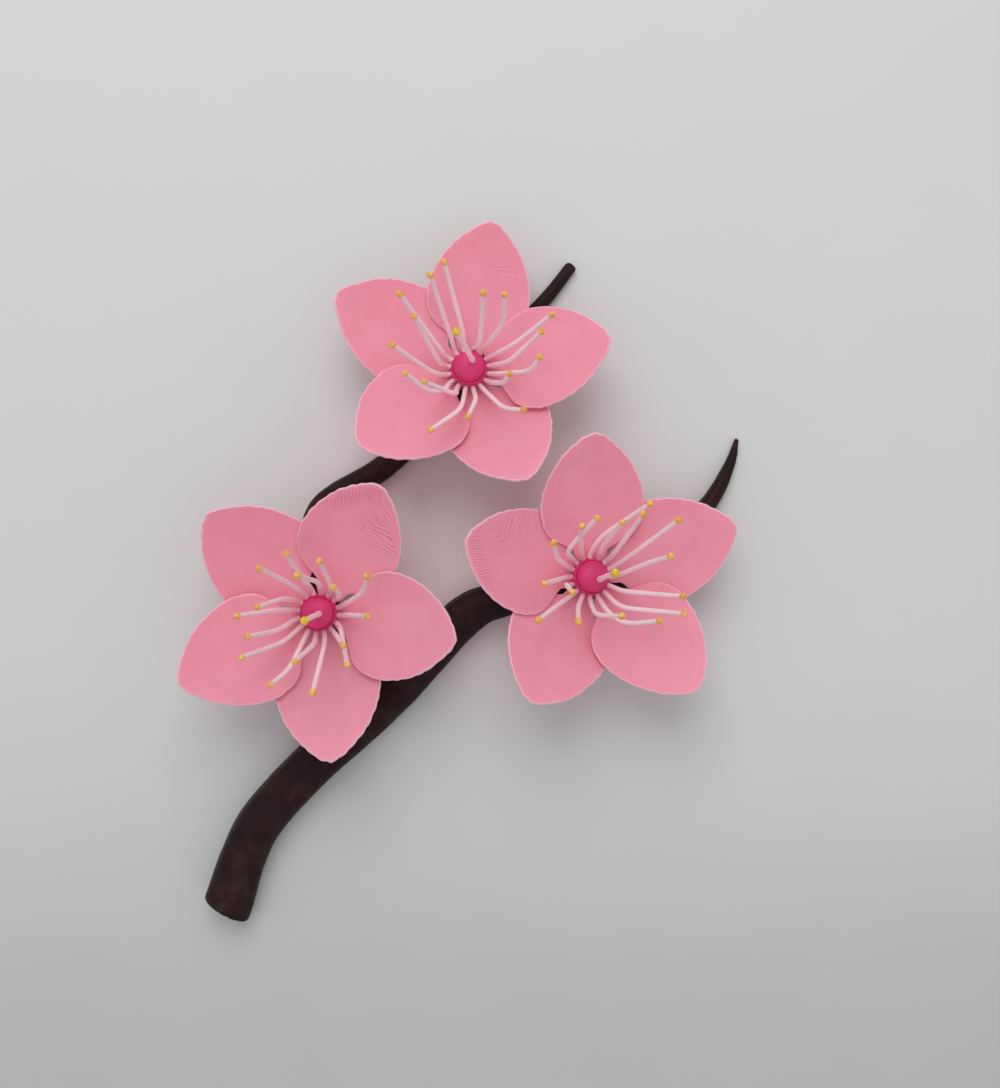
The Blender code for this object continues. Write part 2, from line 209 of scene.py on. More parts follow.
class SprigPetalSettings(PropertyGroup):
    thickness: length_setting("Thickness", "Thickness of a petal's sheet", 0.4)
    edge_round: length_setting("Edge radius", "Rounding of a petal's edge", 0.12)
    ruffle: length_setting("Ruffle", "Depth of the small notches round a petal's edge", 0.17)
    ridge: length_setting("Ridge height", "Height of the printed ridges", 0.06)
    point_spacing: length_setting("Point spacing", "Distance between points on the outline", 0.22)
    color: color_setting("Petal pink", "Colour of the petals", (0.92, 0.312, 0.41))
    # painted highlight: a paler pink painted along every petal's thin edge
    rim_color: color_setting("Rim highlight pink", "Colour of the thin edge", (0.95, 0.50, 0.585))
    # painted shade: the petals are painted a deeper pink towards their claws, round the flower's centre
    claw_shade_color: color_setting("Claw shade pink", "Colour near the claws", (0.88, 0.265, 0.36))


class SprigStamenSettings(PropertyGroup):
    radius: length_setting("Radius", "Radius of a filament", 0.335)
    length: length_setting("Length", "Length that every filament is bent from", 13.5)
    bend_round: length_setting("Bend", "How far each side of its corner a bend starts", 2.2)
    anther_radius: length_setting("Anther radius", "Radius of an anther", 0.48)
    pale: color_setting("Filament", "Colour along most of a filament", (0.98, 0.76, 0.80))
    blush: color_setting("Root blush", "Colour where a filament leaves the button", (0.98, 0.63, 0.72))
    anther: color_setting("Anther", "Colour of the anthers", (0.93, 0.55, 0.13))


class SprigCentreSettings(PropertyGroup):
    dome_radius: length_setting("Dome radius", "Radius of the button's dome", 2.17)
    dome_top: length_setting("Dome top", "Height of the dome over the petals' base", 3.5)
    collar_radius: length_setting("Collar radius", "Radius of the toothed collar", 2.66)
    notch: length_setting("Notch", "Depth of the collar's notches", 0.2)
    color: color_setting("Button", "Colour of the button", (0.76, 0.04, 0.19))
    tip_color: color_setting("Pistil tip", "Colour of the pistil's tip", (0.85, 0.66, 0.04))
    base_color: color_setting("Flower base", "Colour of the turned base", (0.12, 0.05, 0.03))


class SprigBranchSettings(PropertyGroup):
    voxel: length_setting("Voxel", "Grid size that the limbs are blended at", 0.26)
    smooth_rounds: IntProperty(
        name="Smoothing", description="Rounds of smoothing over the fork", default=5, min=0, max=40)
    color: color_setting("Bark", "Main colour of the branch", (0.0225, 0.0112, 0.0122))
    # the bark's own greyish patches, and the same colour used as a painted sheen along the upper-left
    # flank
    patch_and_sheen_color: color_setting("Bark patches and sheen", "Colour of the greyish patches", (0.052, 0.038, 0.034))


class SprigStageSettings(PropertyGroup):
    floor_color: color_setting("Floor", "Colour of the floor's far side", (0.69, 0.687, 0.68))
    # painted shade: the floor is painted darker towards its near side, as the light falls off
    near_floor_shade_color: color_setting("Near floor", "Colour of its near side", (0.55, 0.545, 0.54))
    floor_blush_color: color_setting(
        "Blush on the floor", "Pink light that falls between the blossoms", (0.79, 0.70, 0.72))
    key_power: FloatProperty(
        name="Key light", description="Power of the large soft light", default=0.74,
        min=0.0, subtype="POWER", unit="POWER")
    sky: FloatProperty(
        name="Sky", description="Strength of the even light all round", default=0.61, min=0.0)
    camera_height: length_setting("Camera height", "Height of the camera over the floor", 174.0)
    lens: FloatProperty(name="Lens", description="Focal length in millimetres", default=39.7, min=1.0)


# ---- materials ----
def new_material(name, roughness, **sockets):
    """A Principled material with its uniform values on the shader's own sockets, and its nodes."""
    material = bpy.data.materials.new(name)
    material.use_nodes = True
    shader = material.node_tree.nodes["Principled BSDF"]
    shader.inputs["Roughness"].default_value = roughness
    for socket, value in sockets.items():
        shader.inputs[socket.replace("_", " ")].default_value = value
    return material, material.node_tree


def connect(material, **sockets):
    """Link what varies over a piece to its material's shader."""
    tree = material.node_tree
    for socket, output in sockets.items():
        target = tree.nodes["Principled BSDF"].inputs[socket.replace("_", " ")]
        tree.links.new(output, target)
    return material


def tinted(color, *shares):
    return tuple(part * share for part, share in zip(color, shares))


def add_node(tree, kind, settings=None, **inputs):
    """Add a node; an input is a plain value or an output socket to link from."""
    node = tree.nodes.new(kind)
    for key, value in (settings or {}).items():
        setattr(node, key, value)
    for key, value in inputs.items():
        target = node.inputs[int(key[1:])] if key[0] == "i" and key[1:].isdigit() else node.inputs[key]
        if isinstance(value, bpy.types.NodeSocket):
            tree.links.new(value, target)
        else:
            target.default_value = value
    return node


def attribute(tree, name):
    return add_node(tree, "ShaderNodeAttribute", {"attribute_name": name}).outputs["Fac"]


def object_coordinates(tree):
    return add_node(tree, "ShaderNodeTexCoord").outputs["Object"]


def noise_value(tree, coordinates, scale, detail=3.0, roughness=0.55):
    """Noise in the object's own coordinates; the scale is in features per metre."""
    node = add_node(tree, "ShaderNodeTexNoise", Vector=coordinates, Scale=scale, Detail=detail,
                    Roughness=roughness)
    return node.outputs["Fac"]


def remap(tree, value, low, high, to_low=0.0, to_high=1.0):
    limits = {"From Min": low, "From Max": high, "To Min": to_low, "To Max": to_high}
    node = add_node(
        tree, "ShaderNodeMapRange", {"interpolation_type": "SMOOTHSTEP"}, Value=value, **limits)
    return node.outputs["Result"]


def math_node(tree, operation, a, b=0.0):
    return add_node(tree, "ShaderNodeMath", {"operation": operation}, i0=a, i1=b).outputs["Value"]


def mix_color(tree, share, a, b):
    a, b = (
        value if isinstance(value, bpy.types.NodeSocket) else (*value, 1.0) for value in (a, b))
    return add_node(tree, "ShaderNodeMix", {"data_type": "RGBA"}, i0=share, i6=a, i7=b).outputs[2]


def bump(tree, height, distance, strength=1.0, normal=None):
    node = add_node(tree, "ShaderNodeBump", Height=height, Distance=distance, Strength=strength)
    if normal is not None:
        tree.links.new(normal, node.inputs["Normal"])
    return node.outputs["Normal"]


def petal_material(settings):
    material, tree = new_material(
        "petal_plastic", 0.52, Subsurface_Weight=0.5, Subsurface_Scale=0.0016,
        Subsurface_Radius=(1.0, 0.4, 0.45), Specular_IOR_Level=0.35)
    place = object_coordinates(tree)
    rim = attribute(tree, "rim")
    reach = attribute(tree, "reach")
    ridge = attribute(tree, "ridge")

    cloud = noise_value(tree, place, 180.0)
    fine = noise_value(tree, place, 2600.0, 2.0)
    # painted shade near the claws, where the petals meet round the centre
    claw_shade = remap(tree, reach, 0.1, 0.55, 0.55, 0.0)
    color = mix_color(tree, claw_shade, settings.color, settings.claw_shade_color)
    paler = tuple(min(1.0, part * 1.06 + 0.012) for part in settings.color)
    color = mix_color(tree, remap(tree, cloud, 0.42, 0.68, 0.0, 0.7), color, paler)
    # painted highlight along each petal's edge
    edge = remap(tree, rim, 0.03, 0.21, 0.85, 0.0)
    color = mix_color(tree, edge, color, settings.rim_color)

    # painted shade in the grooves between the printed ridges
    groove_shade = remap(tree, ridge, -0.9, -0.05, 0.7, 0.0)
    color = mix_color(tree, groove_shade, color, tinted(settings.color, 0.86, 0.66, 0.72))
    return connect(
        material, Base_Color=color, Normal=bump(tree, fine, 0.000012, 0.35),
        Roughness=remap(tree, cloud, 0.35, 0.7, 0.46, 0.60))


def filament_material(settings):
    material, tree = new_material(
        "filament_plastic", 0.42, Subsurface_Weight=0.25, Subsurface_Scale=0.0006,
        Subsurface_Radius=(1.0, 0.55, 0.6), Specular_IOR_Level=0.45)
    place = object_coordinates(tree)
    along = attribute(tree, "along")
    mottle = noise_value(tree, place, 900.0)
    color = mix_color(tree, remap(tree, along, 0.05, 0.3, 1.0, 0.0), settings.pale, settings.blush)
    greyer = tinted(settings.pale, 0.82, 0.84, 0.84)
    color = mix_color(tree, remap(tree, along, 0.45, 1.0, 0.0, 0.7), color, greyer)
    color = mix_color(tree, remap(tree, mottle, 0.45, 0.75, 0.0, 0.3), color, greyer)
    return connect(material, Base_Color=color, Normal=bump(tree, mottle, 0.00003, 0.5))


def anther_material(name, color, glow):
    material, tree = new_material(
        name, 0.5, Subsurface_Weight=0.12, Subsurface_Scale=0.0005, Specular_IOR_Level=0.4)
    grain = noise_value(tree, object_coordinates(tree), 1900.0, 4.0)
    shade = remap(tree, grain, 0.35, 0.62, 1.0, 0.0)
    made = mix_color(tree, shade, color, tinted(color, 0.80, 0.62, 0.5))
    bright = tuple(min(1.0, part + glow) for part in color)
    made = mix_color(tree, remap(tree, grain, 0.6, 0.75, 0.0, 0.6), made, bright)
    return connect(material, Base_Color=made, Normal=bump(tree, grain, 0.00006, 0.7))


def button_material(settings):
    material, tree = new_material(
        "button_plastic", 0.5, Subsurface_Weight=0.05, Subsurface_Scale=0.0008,
        Subsurface_Radius=(1.0, 0.15, 0.3), Specular_IOR_Level=0.4)
    place = object_coordinates(tree)
    collar = attribute(tree, "collar")
    cloud = noise_value(tree, place, 420.0)
    darker = tinted(settings.color, 0.72, 0.72, 0.72)
    color = mix_color(tree, remap(tree, cloud, 0.35, 0.65, 0.5, 1.0), darker, settings.color)
    # painted shade: the collar round the dome, between the filaments' roots, is painted darker
    color = mix_color(tree, remap(tree, collar, 0.0, 1.0, 0.0, 0.5), color, darker)
    layers = add_node(
        tree, "ShaderNodeTexWave", {"wave_type": "RINGS", "rings_direction": "Z"},
        Vector=place, Scale=380.0, Distortion=0.6, Detail=1.0)
    normal = bump(tree, layers.outputs["Fac"], 0.000012, 0.5)
    return connect(material, Base_Color=color, Normal=bump(tree, cloud, 0.00004, 0.4, normal))


def branch_material(settings):
    material, tree = new_material("branch_plastic", 0.45, Specular_IOR_Level=0.06)
    place = object_coordinates(tree)
    flank_sheen = attribute(tree, "flank_sheen")
    broad = noise_value(tree, place, 110.0, 4.0)
    fine = noise_value(tree, place, 520.0, 4.0, 0.6)
    redder = tinted(settings.color, 1.45, 1.0, 1.1)
    color = mix_color(tree, remap(tree, broad, 0.42, 0.62), settings.color, redder)
    patch = math_node(
        tree, "MULTIPLY", remap(tree, fine, 0.38, 0.70), remap(tree, broad, 0.38, 0.62, 0.1, 0.5))
    # painted sheen: a lighter line along the upper-left flank, joined with the bark's own patches
    painted_sheen = math_node(tree, "MULTIPLY", flank_sheen, remap(tree, fine, 0.3, 0.6, 0.35, 1.0))
    patch = math_node(tree, "MAXIMUM", patch, painted_sheen)
    color = mix_color(tree, patch, color, settings.patch_and_sheen_color)
    normal = bump(tree, broad, 0.0003, 0.35)
    return connect(
        material, Base_Color=color, Roughness=remap(tree, fine, 0.3, 0.7, 0.36, 0.58),
        Normal=bump(tree, fine, 0.00005, 0.5, normal))


def base_material(settings):
    material, tree = new_material("flower_base_plastic", 0.6, Specular_IOR_Level=0.35)
    grain = noise_value(tree, object_coordinates(tree), 700.0, 4.0)
    warm = tuple(min(1.0, part * 1.8 + 0.01) for part in settings.base_color)
    color = mix_color(tree, remap(tree, grain, 0.4, 0.65), settings.base_color, warm)
    return connect(material, Base_Color=color, Normal=bump(tree, grain, 0.00005, 0.6))


def floor_material(settings):
    material, tree = new_material("floor_card", 0.85, Specular_IOR_Level=0.15)
    place = object_coordinates(tree)
    grain = noise_value(tree, place, 60.0, 4.0)
    along = add_node(tree, "ShaderNodeSeparateXYZ", Vector=place).outputs["Y"]
    # painted shade: darker towards the near side of the floor
    near = remap(tree, along, 0.0, -0.07)
    color = mix_color(tree, near, settings.floor_color, settings.near_floor_shade_color)
    away = add_node(
        tree, "ShaderNodeVectorMath", {"operation": "DISTANCE"}, i0=place,
        i1=Vector((*GLOW_PLACE, 0.0)) * MM).outputs["Value"]
    glow = remap(tree, away, GLOW_FULL * MM, GLOW_END * MM, 1.0, 0.0)
    color = mix_color(tree, glow, color, settings.floor_blush_color)
    paler = mix_color(tree, 0.02, color, (1.0, 1.0, 1.0))
    color = mix_color(tree, remap(tree, grain, 0.35, 0.65), color, paler)
    return connect(material, Base_Color=color)


# ---- making meshes ----
def polar(bearing, reach, height):
    angle = math.radians(bearing)
    return Vector((reach * math.cos(angle), reach * math.sin(angle), height))


def add_piece(name, mesh, material, node, place=None):
    """Put a finished mesh in the scene as a piece that stands for a CAD node."""
    item = bpy.data.objects.new(name, mesh)
    bpy.context.scene.collection.objects.link(item)
    mesh.materials.append(material)
    if place is not None:
        item.matrix_world = place
    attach(item, "root")
    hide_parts(node)


def finish_mesh(bm, name, sharp_degrees=None):
    """Turn a mesh in millimetres into mesh data in metres."""
    mesh = bpy.data.meshes.new(name)
    bmesh.ops.recalc_face_normals(bm, faces=bm.faces)
    bmesh.ops.scale(bm, vec=(MM, MM, MM), verts=bm.verts)
    bm.to_mesh(mesh)
    bm.free()
    mesh.shade_smooth()
    if sharp_degrees is not None:
        mesh.set_sharp_from_angle(angle=math.radians(sharp_degrees))
    return mesh


def add_made(name, bm, sharp_degrees, material, node, place):
    """The same for a mesh in millimetres that is still being made."""
    add_piece(name, finish_mesh(bm, name, sharp_degrees), material, node, place)


def bridge_rings(bm, first, second):
    for j in range(len(first)):
        k = (j + 1) % len(first)
        bm.faces.new((first[j], first[k], second[k], second[j]))


def smooth_line(points, steps):
    """Points of a smooth line that runs through the given ones."""
    known = [Vector(point) for point in points]
    known = [2 * known[0] - known[1]] + known + [2 * known[-1] - known[-2]]
    line = []
    for i in range(1, len(known) - 2):
        before, start, end, after = known[i - 1:i + 3]
        for step in range(steps):
            t = step / steps
            near = 2 * start + (end - before) * t
            bend = (2 * before - 5 * start + 4 * end - after) * t * t
            turn = (3 * start - before - 3 * end + after) * t ** 3
            line.append((near + bend + turn) / 2)
    line.append(known[-2])
    return line


def spaced(line, count):
    """The given number of evenly spaced points along a line, both ends included."""
    reach = [0.0]
    for start, end in zip(line, line[1:]):
        reach.append(reach[-1] + (end - start).length)
    made = []
    i = 0
    for step in range(count):
        target = reach[-1] * step / (count - 1)
        while i < len(line) - 2 and reach[i + 1] < target:
            i += 1
        span = max(reach[i + 1] - reach[i], 1e-9)
        made.append(line[i].lerp(line[i + 1], min(1.0, (target - reach[i]) / span)))
    return made


def line_length(line):
    return sum((end - start).length for start, end in zip(line, line[1:]))


def round_corners(points, reach):
    """Replace each inner corner of a route by a curve that starts up to reach before it."""
    made = [points[0]]
    for before, corner, after in zip(points, points[1:], points[2:]):
        start = corner + (before - corner).normalized() * min(reach, (before - corner).length / 2)
        end = corner + (after - corner).normalized() * min(reach, (after - corner).length / 2)
        for i in range(9):
            t = i / 8
            made.append(start.lerp(corner, t).lerp(corner.lerp(end, t), t))
    made.append(points[-1])
    return made


def sweep(bm, line, radii, sides, layer=None):
    """Sweep a round section of changing radius along a line, and close its ends."""
    ahead = (line[1] - line[0]).normalized()
    across = ahead.orthogonal().normalized()
    rings = []
    for i, point in enumerate(line):
        before = line[max(i - 1, 0)]
        after = line[min(i + 1, len(line) - 1)]
        now = (after - before).normalized()
        across.rotate(ahead.rotation_difference(now))
        across = (across - now * across.dot(now)).normalized()
        ahead = now
        other = ahead.cross(across)
        ring = []
        for j in range(sides):
            angle = 2 * math.pi * j / sides
            offset = across * math.cos(angle) + other * math.sin(angle)
            vert = bm.verts.new(point + offset * radii[i])
            if layer is not None:
                vert[layer] = i / (len(line) - 1)
            ring.append(vert)
        rings.append(ring)
    for first, second in zip(rings, rings[1:]):
        bridge_rings(bm, first, second)
    bm.faces.new(rings[0])
    bm.faces.new(rings[-1])


def turned(bm, profile, steps, radius_at=None, layer=None, layer_values=None):
    """Turn a profile of (radius, height), listed from the top down, round the flower's axis."""
    rings = []
    for i, (radius, height) in enumerate(profile):
        if radius < 1e-6:
            ring = [bm.verts.new((0.0, 0.0, height))]
        else:
            ring = []
            for j in range(steps):
                angle = 2 * math.pi * j / steps
                reach = radius if radius_at is None else radius_at(radius, height, angle)
                ring.append(bm.verts.new((reach * math.cos(angle), reach * math.sin(angle), height)))
        if layer is not None:
            for vert in ring:
                vert[layer] = layer_values[i]
        rings.append(ring)
    for first, second in zip(rings, rings[1:]):
        if len(first) == 1:
            for j in range(steps):
                bm.faces.new((first[0], second[(j + 1) % steps], second[j]))
        elif len(second) == 1:
            for j in range(steps):
                bm.faces.new((second[0], first[j], first[(j + 1) % steps]))
        else:
            bridge_rings(bm, first, second)


# ---- blossoms ----
BLOSSOM_NAMES = tuple(STAMENS)
BASE_TOP = 0.2                    # the flower base reaches this far over the petals' base


def node_points(name):
    return [vert.co.copy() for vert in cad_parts[name].data.vertices]


def middle(points):
    return sum(points, Vector()) / len(points)


def centre_offset(name):
    return Vector((*CENTRE_OFFSET[name], 0.0)) * MM


def blossom_frame(name):
    """Where a blossom stands, read from its base, button and middle petal."""
    base = node_points(name + "_flower_base")
    foot = middle(base)
    axis = (middle(node_points(name + "_button")) - centre_offset(name) - foot).normalized()
    top = max(point.dot(axis) for point in base)
    origin = foot + axis * (top - foot.dot(axis) - BASE_TOP * MM)
    first = middle(node_points(name + "_petal_mid")) - origin
    x = (first - axis * first.dot(axis)).normalized()
    y = axis.cross(x)
    return Matrix.Translation(origin) @ Matrix((x, y, axis)).transposed().to_4x4()


def centre_frame(name):
    """Where a blossom's stamens, button and pistil stand."""
    return Matrix.Translation(centre_offset(name)) @ blossom_frame(name)


def bowl_height(x, y):
    rise = max(math.hypot(x, y) - CLAW, 0.0)
    return BOWL_SLOPE * rise + BOWL * rise * rise


def bowl_normal(x, y):
    distance = math.hypot(x, y)
    rise = max(distance - CLAW, 0.0)
    slope = BOWL_SLOPE + 2 * BOWL * rise if rise > 0 else 0.0
    return Vector((-slope * x / distance, -slope * y / distance, 1.0)).normalized()


def petal_outline(right, left, longer, claws, spacing, ruffle, seed):
    """A petal's outline, from its claw up the right side to the tip and back down the left."""
    sides = []
    for share, claw, direction in ((right, claws[0], -1), (left, claws[1], 1)):
        points = []
        for distance, half in PETAL_OUTLINE:
            grown = distance + longer * max(0.0, (distance - PETAL_HEART) / 8.0)
            wider = claw * ease(distance, 1.4, 3.2) * ease(distance, 6.4, 4.0)
            points.append((grown, direction * (half * share + wider), 0.0))
        sides.append(smooth_line(points, 8))
    count = round(line_length(sides[0]) / spacing)
    up = spaced(sides[0], count)
    down = spaced(sides[1], count)[::-1]
    foot = [down[-1].lerp(up[0], step / 5) for step in range(1, 5)]
    outline = up + down[1:] + foot
    total = len(outline)
    made = []
    for i, point in enumerate(outline):
        along = outline[(i + 1) % total] - outline[i - 1]
        inward = Vector((-along.y, along.x, 0.0)).normalized()
        reach = i * spacing
        slip = 1.6 * noise.noise(Vector((reach / 2.3, seed, 0.3)))
        scallop = 0.5 - abs(math.sin(math.pi * reach / SCALLOP + slip))
        ragged = 0.45 + 0.9 * abs(noise.noise(Vector((reach / 6.0, seed, 7.3))))
        slow = noise.noise(Vector((reach / 3.6, seed, 3.3)))
        free = min(1.0, max(0.0, (point.x - 6.0) / 3.0))
        made.append(point + inward * ruffle * free * (scallop * ragged + 0.7 * slow))
    return made


def ease(value, low, high):
    """0 below low, 1 above high, and a smooth step between; low may be the greater."""
    share = min(1.0, max(0.0, (value - low) / (high - low)))
    return share * share * (3.0 - 2.0 * share)


def print_ridges(flat, distance):
    """Height of the printed layers at a point of a middle petal, from about -1 to 1."""
    round_centre = math.hypot(flat.x - RIDGE_CENTRE[0], flat.y - RIDGE_CENTRE[1])
    wobble = 0.30 * noise.noise(Vector((flat.x / 1.7, flat.y / 1.7, 2.2)))
    wobble += 0.10 * noise.noise(Vector((flat.x / 0.6, flat.y / 0.6, 5.2)))
    right_part = ease(flat.x, 9.5, 13.0) * ease(flat.y, 1.5, -2.0) * ease(distance, 6.5, 3.0)
    left_part = ease(flat.x, 12.0, 14.5) * ease(flat.y, -1.5, 0.5) * ease(distance, 3.6, 1.4)
    centre_part = ease(flat.x, 9.0, 12.0) * ease(abs(flat.y), 3.5, 1.5)
    patch = noise.noise(Vector((flat.x / 2.1, flat.y / 2.1, 4.1)))
    speck = noise.noise(Vector((flat.x / 0.9, flat.y / 0.9, 8.1)))
    fine = max(LEFT_RELIEF * left_part, CENTRE_RELIEF * centre_part * ease(patch, -0.05, 0.3))
    fine *= math.sin((round_centre + wobble) / FINE_PITCH * 2 * math.pi)
    coarse = RIGHT_RELIEF * right_part * ease(patch, -0.30, 0.15)
    coarse *= math.sin((round_centre + 2.0 * wobble) / COARSE_PITCH * 2 * math.pi)
    return (fine + coarse) * (0.75 + 0.5 * speck) * ease(distance, 0.25, 0.5)


def petal_mesh(right, left, longer, claws, settings, seed, ridges):
    """A thin shell on the flower's bowl: rings that follow the outline, closed round its edge."""
    spacing = settings.point_spacing / MM * (RIDGED_SPACING if ridges else 1.0)
    half = settings.thickness / MM / 2
    edge = settings.edge_round / MM
    height_of_ridge = settings.ridge / MM
    outline = petal_outline(right, left, longer, claws, spacing, settings.ruffle / MM, seed)
    total = len(outline)
    heart = Vector((PETAL_HEART, 0.0, 0.0))
    reach_of_normal = max(1, round(0.35 / spacing))
    inward = []
    for i in range(total):
        along = outline[(i + reach_of_normal) % total] - outline[i - reach_of_normal]
        step = 0.15 + 0.85 * ease(outline[i].x, 4.0, 7.0)
        inward.append(Vector((-along.y, along.x, 0.0)).normalized() * step)

    bm = bmesh.new()
    rim = bm.verts.layers.float.new("rim")
    reach = bm.verts.layers.float.new("reach")
    ridge = bm.verts.layers.float.new("ridge")

    def add_vert(flat, height, distance):
        wave = sum(
            tall * noise.noise(Vector((flat.x / wide, flat.y / wide, seed + shift)))
            for tall, wide, shift in SHEET_WAVES)
        relief = ridges * print_ridges(flat, distance) if ridges and height > 0 else 0.0
        centre = Vector((flat.x, flat.y, bowl_height(flat.x, flat.y) + wave))
        vert = bm.verts.new(centre + bowl_normal(flat.x, flat.y) * (height + height_of_ridge * relief))
        vert[rim] = distance
        vert[reach] = (flat.x - CLAW) / 17.0
        vert[ridge] = relief
        return vert

    curve = [math.radians(angle) for angle in (0, 30, 60, 90)]
    near = [(edge * (1 - math.cos(a)), half - edge + edge * math.sin(a)) for a in curve]
    near += [(0.22, half), (0.34, half), (0.48, half)]
    shares = {1: [i / 18 for i in range(1, 18)], -1: [i / 9 for i in range(1, 9)]}
    if ridges:
        shares[1] = [i / 64 for i in range(1, 44)] + [i / 16 for i in range(11, 16)]
    sides = []
    for sign in (1, -1):
        rings = []
        for distance, height in near:
            rings.append([
                add_vert(point + step * distance, sign * height, distance)
                for point, step in zip(outline, inward)])
        start = near[-1][0]
        inner = [point + step * start for point, step in zip(outline, inward)]
        for share in shares[sign]:
            rings.append([
                add_vert(point.lerp(heart, share), sign * half, start + share * (heart - point).length)
                for point in inner])
        closing = add_vert(heart, sign * half, 5.0)
        last = rings[-1]
        for j in range(total):
            bm.faces.new((last[j], last[(j + 1) % total], closing))
        for first, second in zip(rings, rings[1:]):
            bridge_rings(bm, first, second)
        sides.append(rings)
    bridge_rings(bm, sides[0][0], sides[1][0])
    return bm


class SPRIG_OT_petals(Operator):
    """Make the five overlapping petals of every blossom"""
    bl_idname = "sprig.petals"
    bl_label = "Make petals"

    def execute(self, context):
        settings = context.scene.sprig_petals
        material = petal_material(settings)
        for number, blossom in enumerate(BLOSSOM_NAMES):
            place = blossom_frame(blossom)
            for i, (name, bearing, layer, *proportions) in enumerate(PETALS):
                node = f"{blossom}_{name}"
                turn, *more = PETAL_CHANGES.get((blossom, name), (0.0, 0.0, 0.0, 0.0))
                right, left, longer = (own + extra for own, extra in zip(proportions, more))
                claws = CLAW_CHANGES.get((blossom, name), (0.0, 0.0))
                ridges = RIDGE_STRENGTH[blossom] if name == "petal_mid" else 0.0
                seed = 10.0 * number + 2.0 * i + 1.7
                bm = petal_mesh(right, left, longer, claws, settings, seed, ridges)
                lift = Matrix.Translation((0.0, 0.0, (LAYER_BASE + layer * PETAL_LAYER) * MM))
                spin = Matrix.Rotation(math.radians(bearing + turn), 4, "Z")
                add_made(f"{node}_sheet", bm, None, material, node, place @ lift @ spin)
        return {"FINISHED"}


class SPRIG_OT_flower_bases(Operator):
    """Make the turned base that every blossom's petals stand round"""
    bl_idname = "sprig.flower_bases"
    bl_label = "Make flower bases"

    def execute(self, context):
        material = base_material(context.scene.sprig_centres)
        profile = (
            (0.0, 0.2), (1.55, 0.2), (1.72, 0.14), (1.8, 0.0), (1.8, -1.75), (1.88, -1.93),
            (2.05, -2.0), (2.6, -2.0), (2.76, -2.04), (2.8, -2.12), (2.74, -2.23), (2.4, -2.32),
            (1.6, -2.5), (1.28, -2.58), (1.1, -2.6), (0.0, -2.6),
        )
        for blossom in BLOSSOM_NAMES:
            bm = bmesh.new()
            turned(bm, profile, 64)
            node = blossom + "_flower_base"
            add_made(f"{node}_turned", bm, 50, material, node, blossom_frame(blossom))
        return {"FINISHED"}


def filament_route(settings, root_bearing, *places):
    """Root, shoulder, bends and tip; what a filament's length leaves over goes into its rise."""
    root = polar(root_bearing, ROOT_REACH, ROOT_HEIGHT)
    flat = [polar(root_bearing, SHOULDER_REACH, ROOT_HEIGHT)]
    flat += [polar(bearing, reach, ROOT_HEIGHT) for bearing, reach in zip(places[::2], places[1::2])]
    across = line_length(flat)
    rise = math.sqrt((settings.length / MM) ** 2 - across ** 2)
    gone = [line_length(flat[:i + 1]) / across for i in range(len(flat))]
    return [root] + [point + UP * rise * share for point, share in zip(flat, gone)]


def blossom_routes(blossom, settings):
    first_root, bends = STAMENS[blossom]
    return [
        filament_route(settings, first_root + i * STAMEN_STEP, *bend)
        for i, bend in enumerate(bends)]


class SPRIG_OT_filaments(Operator):
    """Make every blossom's ring of bent filaments"""
    bl_idname = "sprig.filaments"
    bl_label = "Make filaments"

    def execute(self, context):
        settings = context.scene.sprig_stamens
        material = filament_material(settings)
        radius = settings.radius / MM
        for blossom in BLOSSOM_NAMES:
            bm = bmesh.new()
            along = bm.verts.layers.float.new("along")
            for i, route in enumerate(blossom_routes(blossom, settings)):
                line = spaced(round_corners(route, settings.bend_round / MM), 44)
                radii = []
                for j, point in enumerate(line):
                    share = j / (len(line) - 1)
                    ripple = 0.03 * noise.noise(Vector((share * 9, i, 1.3)))
                    radii.append(radius * (1.04 - 0.10 * share + ripple))
                radii[0] *= 0.7
                radii[-1] *= 0.8
                sweep(bm, line, radii, 12, along)
            turned(bm, ((2.1, 1.1), (2.1, 0.5), (1.2, 0.5), (1.2, 1.1), (2.1, 1.1)), 48)
            bmesh.ops.remove_doubles(bm, verts=bm.verts, dist=0.0005)
            add_made(
                blossom + "_filaments", bm, 60, material, blossom + "_stamens",
                centre_frame(blossom))
        return {"FINISHED"}


def add_grain(bm, place, radius, seed, stretch=1.0, roughness=0.12):
    """A small faceted grain: a ball with uneven sides."""
    made = bmesh.ops.create_icosphere(bm, subdivisions=2, radius=radius)
    for vert in made["verts"]:
        push = noise.noise(vert.co * 1.6 / radius + Vector((seed, 0.0, 0.0)))
        vert.co *= 1.0 + roughness * push
        vert.co.z *= stretch
        vert.co = place @ vert.co


def toward(direction, point):
    """A placing that turns Z along a direction and moves to a point."""
    return Matrix.Translation(point) @ direction.to_track_quat("Z", "Y").to_matrix().to_4x4()


class SPRIG_OT_anthers(Operator):
    """Make the small yellow anther on the tip of every filament"""
    bl_idname = "sprig.anthers"
    bl_label = "Make anthers"

    def execute(self, context):
        settings = context.scene.sprig_stamens
        material = anther_material("anther_plastic", tuple(settings.anther), 0.08)
        random.seed(7)
        for number, blossom in enumerate(BLOSSOM_NAMES):
            bm = bmesh.new()
            for i, route in enumerate(blossom_routes(blossom, settings)):
                direction = (route[-1] - route[-2]).normalized()
                size = settings.anther_radius / MM * random.uniform(0.92, 1.08)
                place = toward(direction, route[-1] + direction * 0.12)
                add_grain(bm, place, size, 3.1 * i + 50.0 * number, random.uniform(0.95, 1.15))
            add_made(
                blossom + "_anthers", bm, 24, material, blossom + "_stamens",
                centre_frame(blossom))
        return {"FINISHED"}


